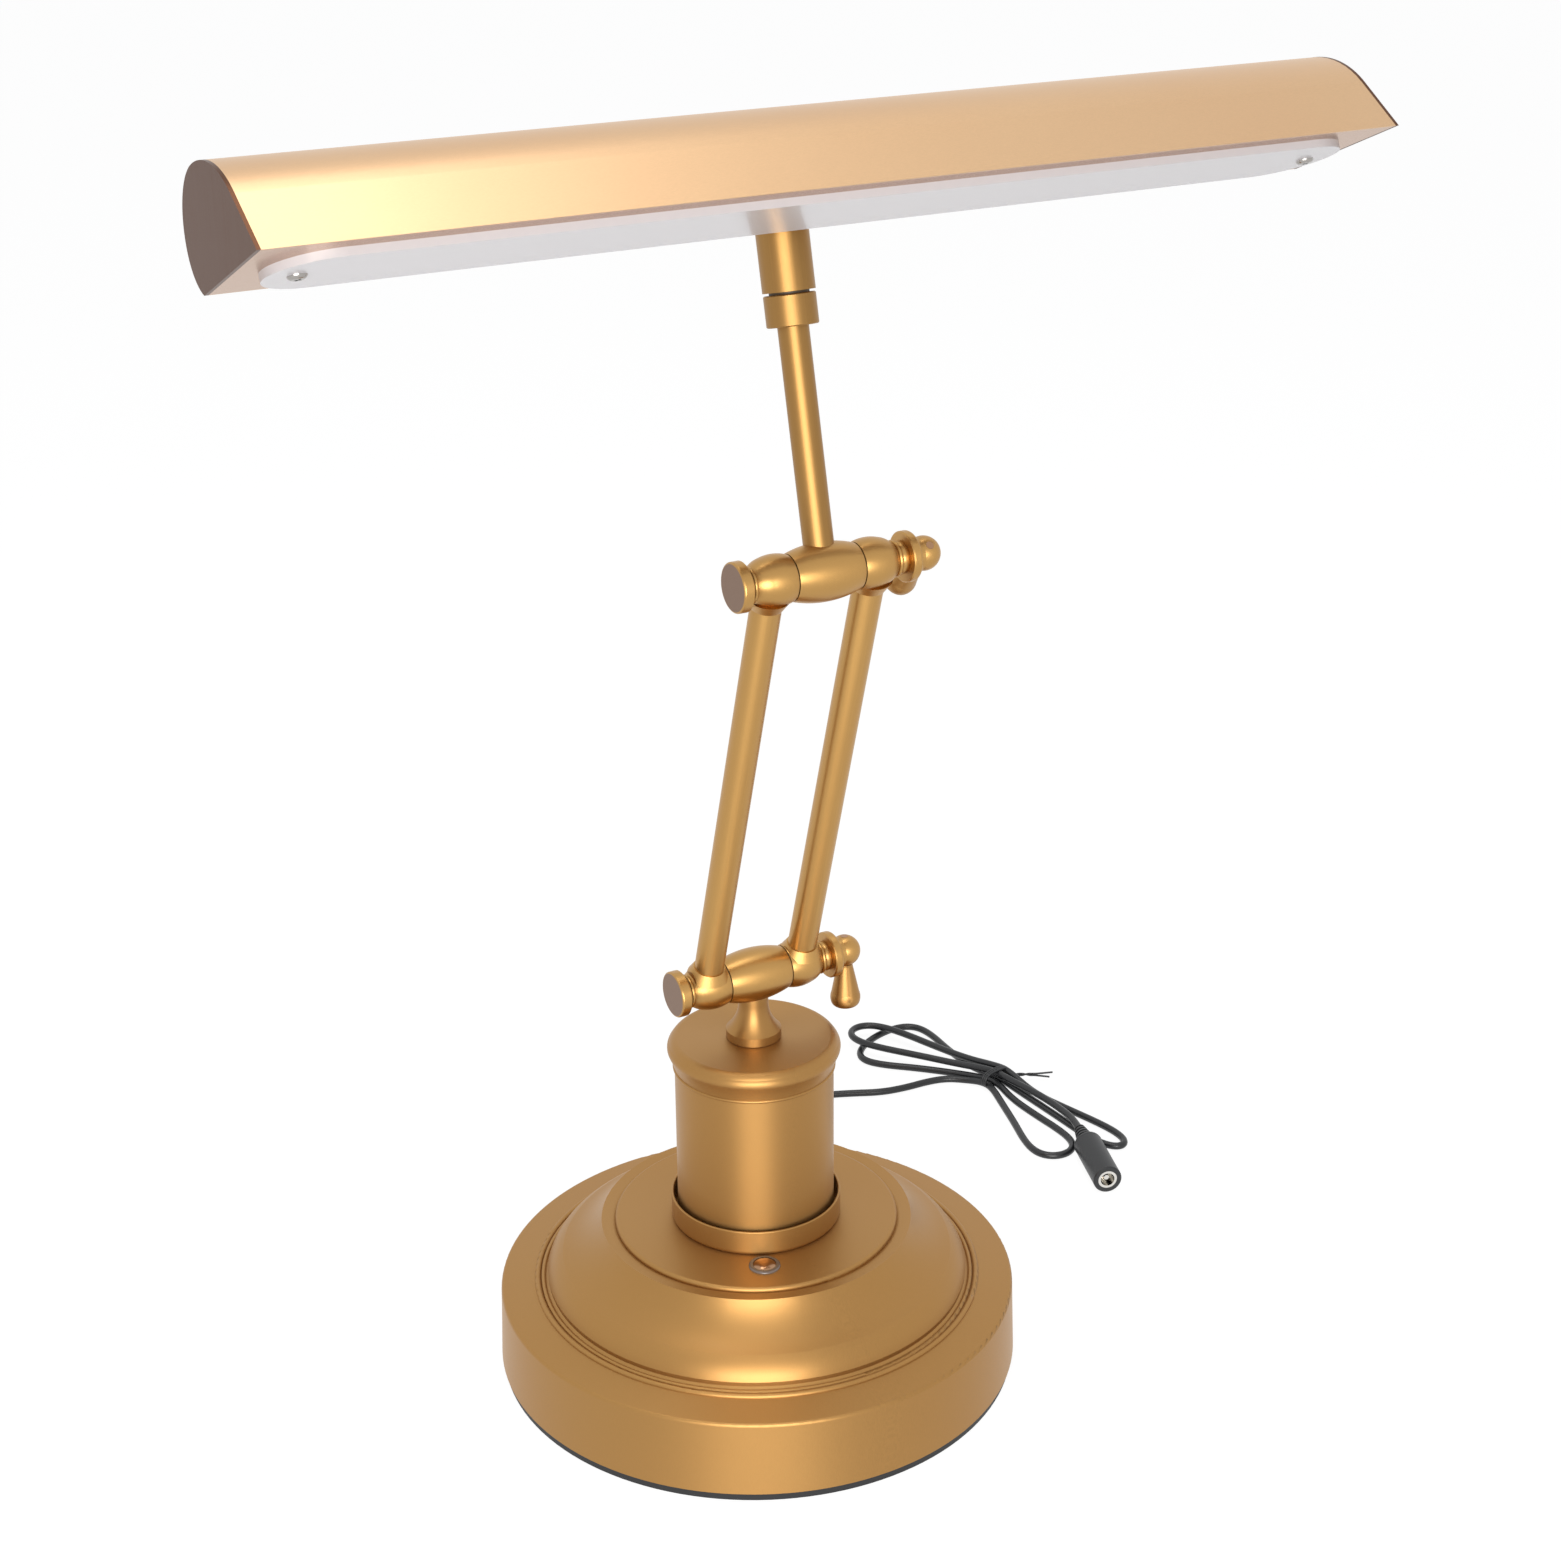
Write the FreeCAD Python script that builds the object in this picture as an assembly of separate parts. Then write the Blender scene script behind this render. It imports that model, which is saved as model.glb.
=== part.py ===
import FreeCAD
import Part
import math
import os

# Piano lamp with a stepped round foot, a fat column, two parallel arms between clamp
# knuckles and a long trough shade.  Millimetres, +Z up.  The origin is the centre of the
# foot's flat underside, +X runs along both clamp bolts, and -Y is the side that the
# light falls on.

V = FreeCAD.Vector
X_AXIS = V(1, 0, 0)
Z_AXIS = V(0, 0, 1)
ORIGIN = V(0, 0, 0)

# Fits
running_gap = 0.06        # radial, between a shaft and the bore that turns on it
slip_gap = 0.05           # between flat faces that turn on each other
seat_gap = 0.1            # radial, between fixed pieces that slide together
sheet = 1.2               # thickness of the foot's and the column cap's spun metal

# Foot
foot_turn_deg = -24.3     # the foot stands turned this far under the neck swivel
foot_radius = 96.2        # at the wall's lower edge
wall_draft = 1.0          # the wall is this much narrower at its upper edge
pad_inset = 0.8           # between the wall and the pad
pad_height = 3.0
pad_skin = 0.4            # left under the foot nut
wall_top = 30.0
rim_round = 1.2
ring_radius = 81.6        # centre of the bead ring
ring_height = 33.0
lip_radius = 77.7         # foot of the ogee
lip_height = 36.0
ogee_top_radius = 57.2
ogee_top_height = 56.1
plateau_radius = 51.9
plateau_height = 57.3
floor_plate_height = 1.2
floor_plate_gap = 1.0     # between the floor plate and the inside of the wall
ballast_inset = 9.0       # between the ballast and the inside of the wall
ballast_bore = 16.0
ballast_height = 20.0
ballast_channel = 10.0
floor_screw_inset = 14.0  # from the ballast's edge to the screws
floor_screw_depth = 8.0

# Column
cup_radius = 31.15
cup_wall = 0.9
cup_height = 9.7
column_radius = 28.75
column_wall = 1.0
column_top = 118.5        # height of the tube's upper edge
cap_radius = 31.3
cap_top = 130.2
rod_radius = 5.0
rod_bore = 3.4
rod_top = 141.0
nut_across = 17.0
nut_height = 5.0
washer_radius = 12.0
washer_height = 1.5

# Neck and knuckles
neck_radius = 9.95
neck_waist = 5.4
neck_band = 3.4
neck_grub_place = 2.4
thrust_height = 0.5
thrust_rim = 1.3          # of the neck round the hidden thrust washer
lower_axis_height = 154.8
upper_axis_y = -49.3
upper_axis_height = 318.9
barrel_half = 12.0
barrel_radius = 9.6
barrel_end_radius = 7.7
friction_washer = 0.4
knuckle_radius = 8.5
knuckle_end = 25.8        # distance of the knuckle's outer end from the middle plane
knuckle_end_radius = 5.5
knuckle_shoulder = 21.4     # where the knuckle starts to narrow
knuckle_shoulder_radius = 7.9
bolt_radius = 3.0
bolt_end = 35.0
bead_radius = 6.1
bead_end = 27.2
bolt_neck_radius = 4.9
bolt_step_radius = 6.8
bolt_step = 0.7
head_start = 28.5
head_end = 32.1
head_radius = 8.25
flange_start = 29.8
flange_end = 33.3
flange_radius = 8.4
lever_neck_radius = 5.5
ball_centre = 37.9
ball_radius = 5.75
handle_waist = 2.9
handle_radius = 5.5
handle_wide = 18.8        # distance of the widest place from the bolt's axis
handle_end = 21.9
pin_radius = 1.35
lower_handle_deg = -2.0   # from straight down, towards +Y
upper_handle_deg = 47.5
arm_spacing = 18.8        # distance of each arm tube from the middle plane
arm_radius = 5.2
arm_wall = 1.0
socket_flare = 2.3        # the knuckle widens this much round each arm tube
socket_end = 9.3
socket_start = 5.6        # distance of a tube's end from the knuckle's axis

# Stem, measured along the stem from the upper clamp bolt
stem_lean_deg = 13.0      # towards +Y
stem_radius = 5.0
stem_wall = 0.9
collar_start = 77.4
collar_end = 87.3
collar_radius = 8.3
swivel_slot = 0.8
swivel_washer_radius = 6.4
stud_radius = 3.2
stud_end = 108.0
grub_radius = 1.5
grub_tip_radius = 1.2
groove_depth = 0.6
sleeve_grub_place = 95.0
sleeve_radius = 8.4
sleeve_end = 127.0
sleeve_round = 2.0
saddle_depth = 1.0        # how far the shade's back sits in the sleeve
shade_bolt_places = (112.5, 121.0)
shade_bolt_radius = 1.5
shade_bolt_head_radius = 2.8
shade_bolt_head = 1.8

# Shade, its section measured from the front lip along the open side and square to it
shade_length = 378.0
shade_sheet = 1.0
shade_lip_stem = 116.2    # distance of the front lip along the stem's axis
open_side_deg = -10.1     # the open side's slope in the stem's frame
open_side_width = 52.5
section_height = 32.7
apex_place = 40.0
front_slope_deg = 56.3
back_radius = 19.5
end_cap_sheet = 1.2
diffuser_margin = 8.5     # from the shade's end to the diffuser's end
diffuser_width = 36.5
diffuser_height = 2.5
window_margin = 4.5
window_end_margin = 15.5  # from the diffuser's end to the opening under it
diffuser_screw_margin = 9.5
screw_head_radius = 2.9
screw_head_height = 1.2
screw_radius = 1.5
carrier_margin = 29.0     # from the shade's end to the light strip's carrier
carrier_foot = 8.0
carrier_width = 26.0
carrier_height = 15.0
carrier_sheet = 1.2
led_board_height = 1.2
led_board_width = 14.0
led_board_margin = 15.0   # from the carrier's end to the board
led_margin = 6.0          # from the board's end to the first diode
led_count = 40
led_size = 2.8

# Touch dimmer
sensor_place = 37.6       # distance of the sensor from the foot's axis
sensor_ring_radius = 5.7
sensor_dome_radius = 4.1
dimmer_board = (46.0, 30.0, 1.6)
dimmer_board_place = 40.0
dimmer_board_height = 39.0

# Cord
cord_radius = 1.55
cord_exit_height = 9.0
relief_length = 14.0      # from the wall to the strain relief's tip
relief_flange = 1.4
relief_flange_radius = 4.6
relief_inner_flange = 3.0
relief_fit = 0.1          # between the flanges and the wall
relief_radius = 3.6
relief_tip_radius = 2.1
jack_radius = 6.0
jack_length = 31.0
jack_relief_length = 11.0
jack_tip = V(176.2, 19.1, jack_radius + 0.1)
jack_turn_deg = -109.4    # direction from the cord to the open face
hank_centre = V(187.0, 118.0, 0)
hank_turn_deg = 11.5      # of the line across the tied waist
strand_pitch = 3.75       # between neighbouring strands and between the two layers
waist_run = 3.2           # the strands run straight this far each way from the waist
waist_lift = 0.85         # the waist lies this far above the floor, on the tie
# direction, length, half width and sense of each of the hank's lobes, in the cord's order
hank_lobes = [
    (-96.2, 66.5, 8.5, -1, 1),
    (112.2, 68.0, 19.5, 1, 1),
    (-80.6, 75.0, 5.2, -1, 1),
    (117.6, 77.0, 8.0, -1, 2),
]
tie_band = 0.7
tie_width = 3.4


def line(a, b):
    return Part.LineSegment(a, b).toShape()


def arc(a, middle, b):
    return Part.Arc(a, middle, b).toShape()


def spun(path, centre=ORIGIN, axis=Z_AXIS):
    """Solid of revolution.  path holds (radius, place along the axis) corners; a corner
    given as three pairs of numbers is the middle and the end of an arc."""
    if axis == X_AXIS:
        def place(r, h):
            return centre + V(h, 0, r)
    else:
        def place(r, h):
            return centre + V(r, 0, h)
    edges = []
    last = place(*path[0])
    first = last
    for corner in path[1:]:
        if len(corner) == 4:
            middle = place(corner[0], corner[1])
            end = place(corner[2], corner[3])
            edges.append(arc(last, middle, end))
        else:
            end = place(*corner)
            edges.append(line(last, end))
        last = end
    edges.append(line(last, first))
    profile = Part.Face(Part.Wire(edges))
    return profile.revolve(centre, axis, 360)


def rod(radius, start, end, centre=ORIGIN, axis=Z_AXIS):
    return Part.makeCylinder(radius, end - start, centre + axis * start, axis)


def tube(radius, bore, start, end, centre=ORIGIN, axis=Z_AXIS):
    return rod(radius, start, end, centre, axis).cut(rod(bore, start - 1, end + 1, centre, axis))


def hexagon(across, bore, start, end, centre=ORIGIN, axis=Z_AXIS):
    corner = across / math.sqrt(3)
    points = []
    for k in range(7):
        angle = math.radians(60 * k)
        points.append(V(corner * math.cos(angle), corner * math.sin(angle), 0))
    solid = Part.Face(Part.makePolygon(points)).extrude(V(0, 0, end - start))
    solid.Placement = FreeCAD.Placement(centre + axis * start, FreeCAD.Rotation(Z_AXIS, axis))
    return solid.cut(rod(bore, start - 1, end + 1, centre, axis))


def turned(solid, degrees, centre=ORIGIN, axis=Z_AXIS):
    copy = solid.copy()
    copy.rotate(centre, axis, degrees)
    return copy


def saved(name, solids):
    """Writes one node from a solid or a list of separate solids."""
    if not isinstance(solids, list):
        solids = [solids]
    parts = []
    for shape in solids:
        parts.extend(shape.removeSplitter().Solids)
    shape = parts[0] if len(parts) == 1 else Part.makeCompound(parts)
    if not shape.isValid():
        print("not valid:", name)
    shape.exportStep("parts/" + name + ".step")
    print(name, len(parts), round(shape.Volume, 1))


# Places that several pieces share
foot_turn = math.radians(foot_turn_deg)
front = V(math.sin(foot_turn), -math.cos(foot_turn), 0)
back = front * -1
lower_axis = V(0, 0, lower_axis_height)
upper_axis = V(0, upper_axis_y, upper_axis_height)
arm_direction = (upper_axis - lower_axis).normalize()
arm_reach = upper_axis.distanceToPoint(lower_axis)
stem_lean = math.radians(stem_lean_deg)
stem_axis = V(0, math.sin(stem_lean), math.cos(stem_lean))
stem_back = V(0, math.cos(stem_lean), -math.sin(stem_lean))
rim_radius = foot_radius - wall_draft
pad_radius = foot_radius - pad_inset
inner_wall_radius = rim_radius - sheet
floor_plate_radius = inner_wall_radius - floor_plate_gap
ballast_radius = inner_wall_radius - ballast_inset
plate_top = pad_height + floor_plate_height
diffuser_length = shade_length - 2 * diffuser_margin
diffuser_screw_place = diffuser_length / 2 - diffuser_screw_margin
carrier_half_length = shade_length / 2 - carrier_margin
cup_floor = plateau_height
column_foot = cup_floor + cup_wall
sleeve_start = collar_end + swivel_slot


def wall_radius(height):
    """The foot's outer radius at a height on its wall."""
    return foot_radius - wall_draft * (height - pad_height) / (wall_top - pad_height)


wall_radius_at_exit = wall_radius(cord_exit_height)


def foot_profile(inset):
    """The foot's outer line from its lower edge to the axis, moved in and down by inset."""
    def at(*numbers):
        return tuple(n - inset for n in numbers)
    bead = 1.15
    step = 1.5
    return [
        at(rim_radius, wall_top),
        at(rim_radius - 0.3 * rim_round, wall_top + 0.7 * rim_round,
           rim_radius - rim_round, wall_top + rim_round),
        at(ring_radius + bead, ring_height - 0.1),
        at(ring_radius, ring_height + bead, ring_radius - bead, ring_height + 0.2),
        at(ring_radius - bead - 0.9, ring_height + 1.1, ring_radius - bead - 1.8, ring_height + 0.6),
        at(lip_radius, lip_height - 1.6),
        at(lip_radius + 0.1, lip_height),
        at(lip_radius - 1.7, lip_height + 3.6, lip_radius - 5.8, lip_height + 7.3),
        at(ogee_top_radius + 5.3, ogee_top_height - 7.2, ogee_top_radius, ogee_top_height),
        at(plateau_radius + 1.2, plateau_height - step),
        at(plateau_radius + 0.1, plateau_height - step - 0.3),
        at(plateau_radius - 0.2, plateau_height - 0.3, plateau_radius - 1.0, plateau_height),
    ]


def make_foot():
    outer = [(0, pad_height), (foot_radius, pad_height)] + foot_profile(0) + [(0, plateau_height)]
    inner = [(0, 0), (foot_radius - sheet, 0)] + foot_profile(sheet)
    inner = inner + [(0, plateau_height - sheet)]
    cover = spun(outer).cut(spun(inner))
    cover = cover.cut(rod(rod_radius + seat_gap, plateau_height - 5, plateau_height + 1))
    sensor_centre = front * sensor_place
    cover = cover.cut(rod(sensor_dome_radius + 0.6, plateau_height - 5, plateau_height + 1, sensor_centre))
    exit_centre = V(0, 0, cord_exit_height)
    cover = cover.cut(rod(relief_radius + seat_gap, 60, 120, exit_centre, back))
    saved("base_cover", cover)

    pad = rod(pad_radius, 0, pad_height).cut(rod(washer_radius, pad_skin, pad_height + 1))
    screw_circle = ballast_radius - floor_screw_inset
    plate = rod(floor_plate_radius, pad_height, plate_top)
    plate = plate.cut(rod(rod_radius + seat_gap, 0, plate_top + 1))
    ballast_top = plate_top + ballast_height
    ballast = tube(ballast_radius, ballast_bore, plate_top, ballast_top)
    channel = Part.makeBox(ballast_radius + 10, ballast_channel, ballast_height + 2)
    channel.translate(V(0, -ballast_channel / 2, plate_top - 1))
    channel = turned(channel, math.degrees(math.atan2(back.y, back.x)))
    ballast = ballast.cut(channel)
    screws = []
    for k in range(3):
        angle = math.radians(foot_turn_deg + 30 + 120 * k)
        centre = V(screw_circle * math.cos(angle), screw_circle * math.sin(angle), 0)
        hole = rod(screw_radius + seat_gap, pad_height - 1, plate_top + floor_screw_depth + 1, centre)
        plate = plate.cut(hole)
        ballast = ballast.cut(hole)
        head_low = pad_height - screw_head_height
        pad = pad.cut(rod(screw_head_radius + seat_gap, head_low, pad_height + 1, centre))
        head = rod(screw_head_radius, head_low, pad_height, centre)
        shank = rod(screw_radius, pad_height - 0.5, plate_top + floor_screw_depth, centre)
        screws.append(head.fuse(shank))
    saved("base_pad", pad)
    saved("base_floor_plate", plate)
    saved("base_ballast", ballast)
    saved("floor_plate_screws", screws)
    return ballast_top


def make_rod():
    nut_top = pad_height
    nut_bottom = pad_skin
    tie_rod = tube(rod_radius, rod_bore, nut_bottom, rod_top)
    grub_height = cap_top + slip_gap + neck_grub_place
    saved("tie_rod", tie_rod.cut(groove(V(0, 0, grub_height), Z_AXIS, rod_radius)))
    saved("tie_rod_foot_nut", hexagon(nut_across, rod_radius, nut_bottom, nut_top))
    top = plateau_height - sheet
    saved("tie_rod_washer", tube(washer_radius, rod_radius, top - washer_height, top))
    nuts = []
    for nut_top in (top - washer_height, cap_top - sheet):
        nuts.append(hexagon(nut_across, rod_radius, nut_top - nut_height, nut_top))
    saved("tie_rod_nuts", nuts)


def make_dimmer(ballast_top):
    length, width, height = dimmer_board
    board = Part.makeBox(length, width, height, V(-length / 2, -width / 2, dimmer_board_height))
    board = board.cut(rod(rod_radius + 3, 0, 100, V(0, dimmer_board_place, 0)))
    posts = []
    for x in (-length / 2 + 4, length / 2 - 4):
        post = rod(2.2, ballast_top, dimmer_board_height, V(x, 0, 0))
        posts.append(post)
    top = dimmer_board_height + height
    chip = Part.makeBox(9, 9, 1.6, V(8, -4.5, top))
    choke = Part.makeBox(8, 8, 5, V(-14, -4, top))
    capacitor = rod(3, top, top + 8, V(17.5, 9.5, 0))
    contact = rod(1.4, top, plateau_height - 2.2, V(0, 0, 0))

    def placed(shape):
        copy = shape.copy()
        copy.translate(V(0, -sensor_place, 0))
        return turned(copy, foot_turn_deg)
    saved("dimmer_board", placed(board))
    saved("dimmer_posts", [placed(post) for post in posts])
    saved("dimmer_components", [placed(chip), placed(choke), placed(capacitor)])
    saved("sensor_contact", placed(contact))


def make_sensor():
    centre = front * sensor_place
    flange_height = 0.8
    low = plateau_height
    ring = [
        (sensor_dome_radius + 0.1, low),
        (sensor_ring_radius, low),
        (sensor_ring_radius - 0.1, low + 0.5, sensor_ring_radius - 0.6, low + flange_height),
        (sensor_dome_radius + 0.1, low + flange_height),
    ]
    skirt = tube(sensor_dome_radius + 0.5, sensor_dome_radius + 0.1, low - sheet - 1, low + 0.1, centre)
    saved("sensor_ring", spun(ring, centre).fuse(skirt))
    dome = [
        (0, low - 2.2),
        (sensor_dome_radius, low - 2.2),
        (sensor_dome_radius, low + flange_height - 0.1),
        (sensor_dome_radius - 1.4, low + 1.45, 0.4, low + 1.8),
        (0, low + 1.8),
    ]
    saved("sensor_dome", spun(dome, centre))


def make_column():
    cup = [
        (rod_radius + seat_gap, cup_floor),
        (cup_radius - 1.4, cup_floor),
        (cup_radius - 0.4, cup_floor + 0.5, cup_radius, cup_floor + 1.6),
        (cup_radius, cup_floor + cup_height - 0.4),
        (cup_radius - cup_wall / 2, cup_floor + cup_height, cup_radius - cup_wall, cup_floor + cup_height - 0.4),
        (cup_radius - cup_wall, cup_floor + cup_wall),
        (rod_radius + seat_gap, cup_floor + cup_wall),
    ]
    saved("column_cup", spun(cup))
    saved("column_tube", tube(column_radius, column_radius - column_wall, column_foot, column_top))
    plug_radius = column_radius - column_wall - seat_gap
    plug_bottom = column_top - 4.5
    bead_top = column_top + 1.2
    cap = [
        (plug_radius, plug_bottom),
        (plug_radius, column_top),
        (column_radius + 0.3, column_top),
        (column_radius + 0.7, column_top + 0.6, column_radius + 0.3, bead_top),
        (column_radius + 1.1, bead_top + 2.6, cap_radius - 0.3, bead_top + 5.4),
        (cap_radius, bead_top + 6.6, cap_radius - 0.8, cap_top - 1.9),
        (cap_radius - 2.0, cap_top - 0.5, cap_radius - 4.2, cap_top),
        (rod_radius + seat_gap, cap_top),
        (rod_radius + seat_gap, cap_top - sheet),
        (plug_radius - 3.0, cap_top - sheet),
        (plug_radius - 1.5, cap_top - sheet - 0.6, plug_radius - sheet, cap_top - sheet - 2.2),
        (plug_radius - sheet, plug_bottom),
    ]
    saved("column_cap", spun(cap))


def barrel_solid(centre):
    path = [
        (0, -barrel_half),
        (barrel_end_radius, -barrel_half),
        (barrel_radius, 0, barrel_end_radius, barrel_half),
        (0, barrel_half),
    ]
    return spun(path, centre, X_AXIS)


def bolt_bore(radius, centre, end=60):
    return rod(radius, -end, end, centre, X_AXIS)


def grub_screw(centre, direction, shaft_radius, outside):
    """Screw whose tip rides in a groove round a shaft, and the hole that it needs."""
    shoulder = shaft_radius + 0.3
    screw = rod(grub_radius, shoulder, outside - 0.6, centre, direction)
    tip = rod(grub_tip_radius, shaft_radius - groove_depth + slip_gap, shoulder, centre, direction)
    hole = rod(grub_radius, shaft_radius - 1, outside + 2, centre, direction)
    socket = rod(0.75, outside - 1.8, outside, centre, direction)
    return screw.fuse(tip).cut(socket), hole


def groove(centre, axis, shaft_radius):
    half = grub_tip_radius + slip_gap
    return tube(shaft_radius + 1, shaft_radius - groove_depth, -half, half, centre, axis)


def make_neck():
    foot = cap_top + slip_gap
    washer_top = cap_top + thrust_height
    thrust_radius = neck_radius - thrust_rim
    saved("thrust_washer", tube(thrust_radius - seat_gap, rod_radius + running_gap, cap_top, washer_top))
    barrel_bottom = lower_axis_height - barrel_radius
    cone = [
        (0, foot),
        (neck_radius - 0.3, foot),
        (neck_radius, foot + 0.3),
        (neck_radius, foot + neck_band),
        (neck_waist + 0.9, foot + neck_band + 5.4, neck_waist, barrel_bottom - 0.6),
        (neck_waist, lower_axis_height - 6),
        (0, lower_axis_height - 6),
    ]
    barrel = barrel_solid(lower_axis)
    neck = spun(cone).cut(barrel)
    neck = neck.cut(rod(rod_radius + running_gap, 0, rod_top + 0.6))
    neck = neck.cut(rod(thrust_radius, foot - 1, washer_top + slip_gap))
    grub_height = foot + neck_grub_place
    screw, hole = grub_screw(V(0, 0, grub_height), back, rod_radius, neck_radius)
    saved("neck_cone", neck.cut(hole).Solids[0])
    saved("neck_grub_screw", screw)
    saved("lower_barrel", barrel.cut(bolt_bore(bolt_radius + running_gap, lower_axis)))


def knuckle_solid(centre, side):
    start = side * (barrel_half + slip_gap + friction_washer)
    end = side * knuckle_end
    path = [
        (0, start),
        (barrel_end_radius, start),
        (knuckle_radius, side * 16.8, knuckle_shoulder_radius, side * knuckle_shoulder),
        (knuckle_end_radius + 1.4, side * (knuckle_end - 1.8), knuckle_end_radius, end),
        (0, end),
    ]
    return spun(path, centre, X_AXIS)


def make_knuckles_and_arms():
    washers = []
    for name, centre, sign in (("lower", lower_axis, 1), ("upper", upper_axis, -1)):
        knuckles = []
        for side in (-1, 1):
            foot = centre + X_AXIS * (side * arm_spacing)
            flare = Part.makeCone(arm_radius + socket_flare, arm_radius + 0.4, socket_end - socket_start,
                                  foot + arm_direction * (sign * socket_start), arm_direction * sign)
            ends = sorted((side * (barrel_half + slip_gap + friction_washer + 0.3), side * (knuckle_end - 0.6)))
            knuckle = knuckle_solid(centre, side)
            knuckle = knuckle.fuse(flare.common(rod(20, ends[0], ends[1], centre, X_AXIS)))
            knuckle = knuckle.cut(bolt_bore(bolt_radius + 0.02, centre))
            knuckle = knuckle.cut(rod(arm_radius, socket_start, 40, foot, arm_direction * sign))
            knuckles.append(knuckle)
            near = side * (barrel_half + slip_gap)
            far = near + side * friction_washer
            low = min(near, far)
            high = max(near, far)
            washers.append(tube(barrel_end_radius - 0.5, bolt_radius + 0.02, low, high, centre, X_AXIS))
        saved(name + "_knuckles", knuckles)
    saved("friction_washers", washers)
    for side, word in ((-1, "left"), (1, "right")):
        foot = lower_axis + X_AXIS * (side * arm_spacing)
        end = arm_reach - socket_start
        arm = tube(arm_radius, arm_radius - arm_wall, socket_start, end, foot, arm_direction)
        saved("arm_tube_" + word, arm)


def make_bolts():
    bolts = []
    for centre in (lower_axis, upper_axis):
        bead_middle = (knuckle_end + bead_end) / 2
        head = [
            (0, -knuckle_end),
            (bead_radius - 0.8, -knuckle_end),
            (bead_radius, -bead_middle, bead_radius - 0.8, -bead_end),
            (bolt_neck_radius, -bead_end),
            (bolt_neck_radius, bolt_step - head_start),
            (bolt_step_radius, bolt_step - head_start),
            (bolt_step_radius, -head_start),
            (head_radius - 0.3, -head_start),
            (head_radius, -head_start - 0.3),
            (head_radius, -head_end + 0.6),
            (head_radius - 0.2, -head_end + 0.2, head_radius - 0.6, -head_end),
            (0, -head_end),
        ]
        shaft = rod(bolt_radius, -knuckle_end - 1, bolt_end, centre, X_AXIS)
        bolts.append(spun(head, centre, X_AXIS).fuse(shaft))
    saved("clamp_bolts", bolts)


def handle_direction(degrees):
    angle = math.radians(degrees)
    return V(0, math.sin(angle), -math.cos(angle))


def make_levers():
    for name, centre, degrees in (
            ("lower", lower_axis, lower_handle_deg), ("upper", upper_axis, upper_handle_deg)):
        start = knuckle_end + slip_gap
        hub = [
            (0, start),
            (bead_radius - 0.8, start),
            (bead_radius, (start + bead_end) / 2, bead_radius - 0.8, bead_end),
            (lever_neck_radius - 0.4, bead_end + 0.3),
            (lever_neck_radius, (bead_end + flange_start) / 2 + 0.2, lever_neck_radius - 0.4, flange_start),
            (flange_radius - 0.4, flange_start),
            (flange_radius, flange_start + 0.4),
            (flange_radius, flange_end - 1.3),
            (flange_radius - 0.4, flange_end - 0.4, flange_radius - 1.4, flange_end),
            (0, flange_end),
        ]
        ball_at = centre + X_AXIS * ball_centre
        ball = Part.makeSphere(ball_radius, ball_at)
        waist = rod(ball_radius - 0.4, flange_end - 1, ball_centre, centre, X_AXIS)
        solid = spun(hub, centre, X_AXIS).fuse(ball).fuse(waist)
        solid = solid.cut(rod(bolt_radius + running_gap, 0, bolt_end + 0.3, centre, X_AXIS))
        direction = handle_direction(degrees)
        pin_hole = rod(pin_radius + 0.02, -ball_radius - 2, ball_radius + 2, ball_at, direction)
        saved(name + "_lever_hub", solid.cut(pin_hole))
        grip_start = ball_radius - 0.6
        path = [
            (pin_radius + 0.02, grip_start),
            (handle_waist, grip_start),
            (handle_waist, grip_start + 0.8),
            (handle_waist + 1.1, 11.2, handle_radius - 0.4, handle_wide - 2.4),
            (handle_radius, handle_wide, handle_radius - 0.35, handle_wide + 1.7),
            (handle_radius - 1.2, handle_end - 0.4, 2.8, handle_end),
            (0, handle_end),
            (0, 15.0),
            (pin_radius + 0.02, 15.0),
        ]
        grip = spun(path)
        grip = grip.cut(Part.makeSphere(ball_radius, ORIGIN))
        grip.Placement = FreeCAD.Placement(ball_at, FreeCAD.Rotation(Z_AXIS, direction))
        saved(name + "_lever_handle", grip.cut(waist))
        saved(name + "_lever_pin", rod(pin_radius, -ball_radius + 0.1, 15.0, ball_at, direction))


def make_stem():
    barrel = barrel_solid(upper_axis).cut(bolt_bore(bolt_radius + running_gap, upper_axis))
    socket = rod(stem_radius, socket_start, 30, upper_axis, stem_axis)
    saved("upper_barrel", barrel.cut(socket))
    stem_top = collar_end - 4.0
    stem = tube(stem_radius, stem_radius - stem_wall, socket_start, stem_top, upper_axis, stem_axis)
    saved("stem_tube", stem)
    collar = rod(collar_radius, collar_start, collar_end, upper_axis, stem_axis)
    edges = [e for e in collar.Edges if abs(e.Length - 2 * math.pi * collar_radius) < 0.01]
    collar = collar.makeChamfer(0.35, edges)
    collar = collar.cut(rod(stem_radius, collar_start - 1, stem_top, upper_axis, stem_axis))
    collar = collar.cut(rod(stud_radius, collar_start, collar_end + 1, upper_axis, stem_axis))
    saved("swivel_collar", collar)
    stud = rod(stud_radius, stem_top, stud_end, upper_axis, stem_axis)
    stud = stud.cut(rod(stud_radius - 1.2, stem_top - 1, stud_end + 1, upper_axis, stem_axis))
    stud = stud.cut(groove(upper_axis + stem_axis * sleeve_grub_place, stem_axis, stud_radius))
    saved("swivel_stud", stud)
    washer = tube(swivel_washer_radius, stud_radius + 0.02, collar_end, sleeve_start - slip_gap,
                  upper_axis, stem_axis)
    saved("swivel_washer", washer)


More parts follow.
